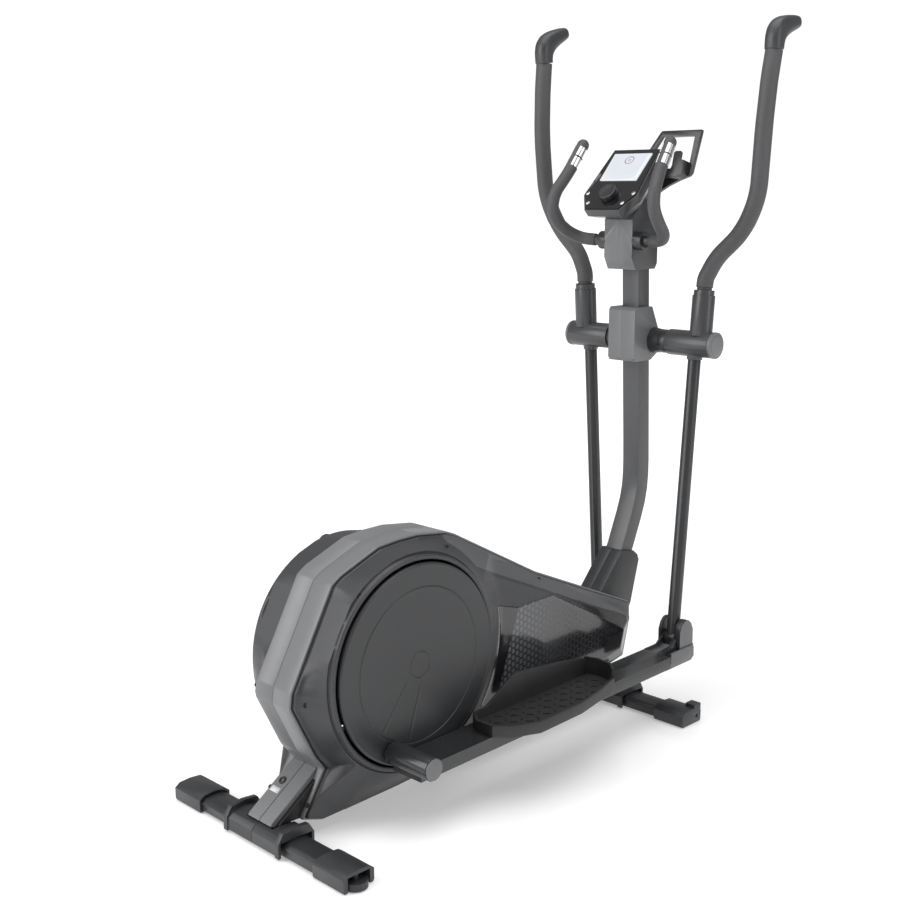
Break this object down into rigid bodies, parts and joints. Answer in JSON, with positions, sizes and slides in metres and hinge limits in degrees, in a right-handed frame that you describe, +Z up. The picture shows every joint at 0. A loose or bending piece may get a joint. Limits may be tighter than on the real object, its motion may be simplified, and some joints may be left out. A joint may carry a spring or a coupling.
{
  "type": "elliptical trainer",
  "caption": "Front-lever elliptical trainer: faired crank and flywheel housing, bent mast with console, swinging handlebar levers, pedal arms, tablet holder and foot bars.",
  "frame": {"origin": "centre of the bounding box in plan, on the floor plane under the foot pads", "axes": "+Z up, +X the way the user faces, +Y to the user's left"},
  "size_m": [1.3548, 0.614, 1.6209],
  "materials": {
    "frame_steel": "satin",
    "mast_paint": "satin",
    "satin_cover": "satin",
    "housing_shell": "satin",
    "gloss_panel": "gloss",
    "disc_plastic": "satin",
    "foam": "matte",
    "sensor_plate": "brushed",
    "screen": "gloss",
    "pedal_plastic": "matte",
    "rubber": "matte",
    "steel": "satin",
    "cast_rotor": "satin",
    "key_plastic": "satin"
  },
  "bodies": {
    "frame": {"base_frame": "frame_steel", "rear_stabilizer": "frame_steel", "front_stabilizer": "frame_steel", "foot_covers": "satin_cover", "end_caps": "satin_cover", "floor_pads": "rubber", "mast": "mast_paint", "mast_base_covers": "satin_cover", "pivot_covers": "satin_cover", "swing_axle": "steel", "head_covers": "satin_cover", "fixed_handlebar": "mast_paint", "fixed_grips": "foam", "pulse_sensors": "sensor_plate", "console_housing": "satin_cover", "console_panel": "gloss_panel", "display": "screen", "tablet_holder": "satin_cover", "housing_left": "housing_shell", "housing_right": "housing_shell", "side_inlays": "gloss_panel", "housing_screws": "steel", "power_socket": "key_plastic", "drive_belt": "rubber", "brake_unit": "steel", "crank_bearings": "steel"},
    "crank": {"crank_axle": "steel", "crank_pulley": "disc_plastic", "crank_arm_left": "steel", "crank_arm_right": "steel", "crank_disc_left": "disc_plastic", "crank_disc_right": "disc_plastic"},
    "flywheel_rotor": {"flywheel": "cast_rotor"},
    "right_lever": {"right_lever_hub": "mast_paint", "right_hub_cap": "satin_cover", "right_lever_tube": "mast_paint", "right_handlebar": "foam", "right_handle_cap": "satin_cover"},
    "right_pivot_pin": {"right_pivot_bolt": "steel"},
    "right_arm": {"right_pedal_arm": "frame_steel", "right_pedal": "pedal_plastic", "right_arm_covers": "satin_cover"},
    "left_lever": {"left_lever_hub": "mast_paint", "left_hub_cap": "satin_cover", "left_lever_tube": "mast_paint", "left_handlebar": "foam", "left_handle_cap": "satin_cover"},
    "left_pivot_pin": {"left_pivot_bolt": "steel"},
    "left_arm": {"left_pedal_arm": "frame_steel", "left_pedal": "pedal_plastic", "left_arm_covers": "satin_cover"},
    "knob": {"console_knob": "key_plastic"},
    "key_left_upper": {"console_key_left_upper": "key_plastic"},
    "key_left_lower": {"console_key_left_lower": "key_plastic"},
    "key_right_upper": {"console_key_right_upper": "key_plastic"},
    "key_right_lower": {"console_key_right_lower": "key_plastic"},
    "levelling_foot_left": {"level_wheel_left": "key_plastic"},
    "roller_left": {"transport_wheel_left": "rubber"},
    "levelling_foot_right": {"level_wheel_right": "key_plastic"},
    "roller_right": {"transport_wheel_right": "rubber"}
  },
  "joints": [
    {"name": "crank_turn", "type": "hinge", "parent": "frame", "child": "crank", "pos_m": [-0.356, 0, 0.3108], "axis": [0, 1, 0], "continuous": true},
    {"name": "flywheel_spin", "type": "hinge", "parent": "frame", "child": "flywheel_rotor", "pos_m": [0.0156, 0, 0.226], "axis": [0, 1, 0], "continuous": true},
    {"name": "right_lever_swing", "type": "hinge", "parent": "frame", "child": "right_lever", "pos_m": [0.5026, 0, 0.87], "axis": [0, 1, 0], "range_deg": [-19, 10.3]},
    {"name": "left_lever_swing", "type": "hinge", "parent": "frame", "child": "left_lever", "pos_m": [0.5026, 0, 0.87], "axis": [0, 1, 0], "range_deg": [-10.3, 19]},
    {"name": "right_pin_turn", "type": "hinge", "parent": "right_lever", "child": "right_pivot_pin", "pos_m": [0.45066, -0.158, 0.17193], "axis": [0, 1, 0], "range_deg": [-10.3, 19]},
    {"name": "left_pin_turn", "type": "hinge", "parent": "left_lever", "child": "left_pivot_pin", "pos_m": [0.55687, 0.158, 0.17211], "axis": [0, 1, 0], "range_deg": [-19, 10.3]},
    {"name": "right_arm_tilt", "type": "hinge", "parent": "right_pivot_pin", "child": "right_arm", "pos_m": [0.45066, -0.158, 0.17193], "axis": [0, 1, 0], "range_deg": [-1.2, 21.9]},
    {"name": "left_arm_tilt", "type": "hinge", "parent": "left_pivot_pin", "child": "left_arm", "pos_m": [0.55687, 0.158, 0.17211], "axis": [0, 1, 0], "range_deg": [-21.9, 1.2]},
    {"name": "knob_turn", "type": "hinge", "parent": "frame", "child": "knob", "pos_m": [0.36734, 0, 1.20688], "axis": [-0.7249, 0, 0.6889], "continuous": true},
    {"name": "key_left_upper_press", "type": "slide", "parent": "frame", "child": "key_left_upper", "axis": [0.7249, 0, -0.6889], "range_m": [0, 0.001], "stiffness_N_per_m": 600, "springref_m": -0.0006},
    {"name": "key_left_lower_press", "type": "slide", "parent": "frame", "child": "key_left_lower", "axis": [0.7249, 0, -0.6889], "range_m": [0, 0.001], "stiffness_N_per_m": 600, "springref_m": -0.0006},
    {"name": "key_right_upper_press", "type": "slide", "parent": "frame", "child": "key_right_upper", "axis": [0.7249, 0, -0.6889], "range_m": [0, 0.001], "stiffness_N_per_m": 600, "springref_m": -0.0006},
    {"name": "key_right_lower_press", "type": "slide", "parent": "frame", "child": "key_right_lower", "axis": [0.7249, 0, -0.6889], "range_m": [0, 0.001], "stiffness_N_per_m": 600, "springref_m": -0.0006},
    {"name": "levelling_left_turn", "type": "hinge", "parent": "frame", "child": "levelling_foot_left", "pos_m": [-0.6344, 0.251, 0.009], "axis": [0, 0, 1], "range_deg": [-180, 180]},
    {"name": "levelling_right_turn", "type": "hinge", "parent": "frame", "child": "levelling_foot_right", "pos_m": [-0.6344, -0.251, 0.009], "axis": [0, 0, 1], "range_deg": [-180, 180]},
    {"name": "roller_left_spin", "type": "hinge", "parent": "frame", "child": "roller_left", "pos_m": [0.4116, 0.2445, 0.0175], "axis": [0, 1, 0], "continuous": true},
    {"name": "roller_right_spin", "type": "hinge", "parent": "frame", "child": "roller_right", "pos_m": [0.4116, -0.2445, 0.0175], "axis": [0, 1, 0], "continuous": true}
  ],
  "couplings": [
    {"joint": "flywheel_spin", "follows": "crank_turn", "ratio": 6.3636},
    {"joint": "left_lever_swing", "follows": "right_lever_swing", "ratio": -1},
    {"joint": "right_pin_turn", "follows": "right_lever_swing", "ratio": -1},
    {"joint": "left_pin_turn", "follows": "right_lever_swing", "ratio": 1},
    {"joint": "left_arm_tilt", "follows": "right_arm_tilt", "ratio": -1}
  ]
}
